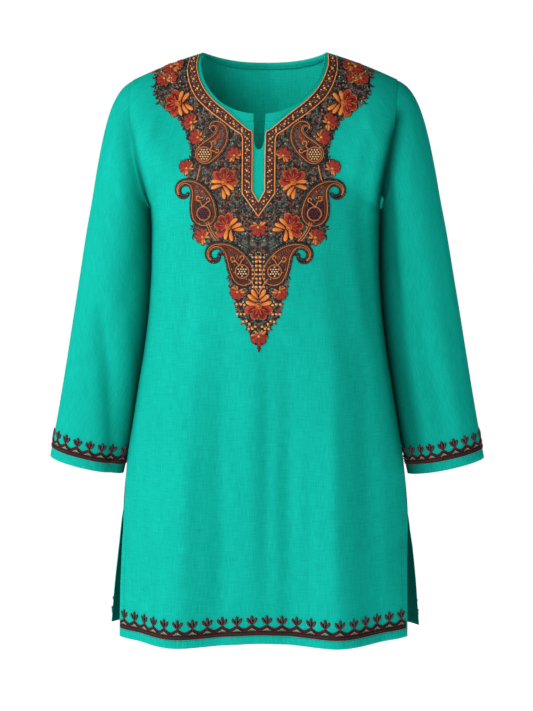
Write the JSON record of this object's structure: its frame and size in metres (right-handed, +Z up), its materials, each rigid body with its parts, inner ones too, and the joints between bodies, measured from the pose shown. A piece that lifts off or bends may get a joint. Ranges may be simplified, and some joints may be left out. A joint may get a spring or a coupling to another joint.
{
  "type": "kurti",
  "caption": "Long-sleeved A-line kurti in plain linen-look cloth, with a round keyhole neck, side slits, an embroidered yoke and narrow embroidered hem and cuff borders, filled out as worn",
  "frame": {"origin": "the middle of the neck opening, level with the two neck points of the shoulder seams, where the wearer's shoulders hold the garment", "axes": "+Z is up, +X is the wearer's left and the front faces -Y"},
  "size_m": [0.649, 0.2322, 0.8608],
  "materials": {
    "teal_cloth": "matt plain weave with uneven slub threads",
    "teal_facing": "matt plain weave, turned to the inside",
    "embroidery": "shiny couched cord, satin thread and small beads"
  },
  "bodies": {
    "root": {"front": "teal_cloth", "back": "teal_cloth", "sleeve_left": "teal_cloth", "sleeve_right": "teal_cloth", "back_neck_facing": "teal_facing", "neck_border": "embroidery"}
  },
  "joints": []
}
